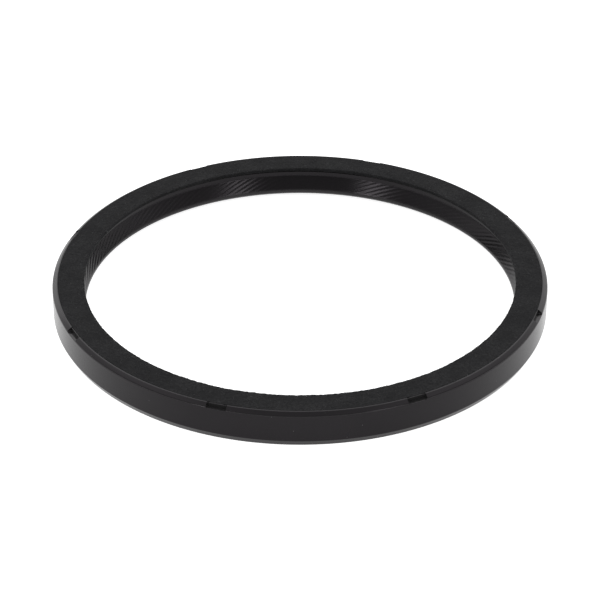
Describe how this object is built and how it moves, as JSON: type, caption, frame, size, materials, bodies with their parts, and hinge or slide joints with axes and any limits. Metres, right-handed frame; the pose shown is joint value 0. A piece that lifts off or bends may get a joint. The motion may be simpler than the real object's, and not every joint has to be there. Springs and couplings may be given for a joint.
{
  "type": "crankshaft oil seal",
  "caption": "Rubber-covered radial shaft seal for a crankshaft, with a ribbed spring-loaded sealing lip, a felt dust lip and notches round its upper edge.",
  "frame": {"origin": "centre of the flat foot on the oil side, on the shaft's axis", "axes": "+Z along the shaft's axis, from the oil side to the felt (air) side; +X is any radial direction, with the first notch 26.5 degrees from it"},
  "size_m": [0.16, 0.16, 0.012],
  "materials": {
    "rubber": "smooth moulded black, low sheen",
    "felt": "matt black needled felt",
    "case_steel": "dull grey phosphated",
    "spring_steel": "drawn wire"
  },
  "bodies": {
    "root": {"rubber_body": "rubber", "felt_dust_lip": "felt", "steel_case": "case_steel", "garter_spring": "spring_steel"}
  },
  "joints": []
}
